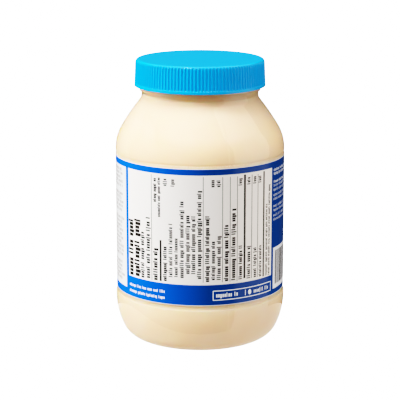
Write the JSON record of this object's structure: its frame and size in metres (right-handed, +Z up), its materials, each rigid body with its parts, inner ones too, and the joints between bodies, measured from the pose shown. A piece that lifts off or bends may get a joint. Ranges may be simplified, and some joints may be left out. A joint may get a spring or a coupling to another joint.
{
  "type": "mayonnaise jar",
  "caption": "Squat round clear plastic jar full of mayonnaise, with a wrap-around film label and a screw cap with a ribbed grip.",
  "frame": {"origin": "middle of the ring that the jar stands on, on the surface below it", "axes": "+Z up along the jar's axis, the front of the label faces -Y, +X to the right as seen from the front"},
  "size_m": [0.0978, 0.0978, 0.162],
  "materials": {
    "clear_plastic": "gloss",
    "mayonnaise": "satin",
    "label_film": "gloss",
    "cap_plastic": "satin"
  },
  "bodies": {
    "root": {"jar": "clear_plastic", "mayonnaise": "mayonnaise", "label": "label_film", "cap": "cap_plastic"}
  },
  "joints": []
}
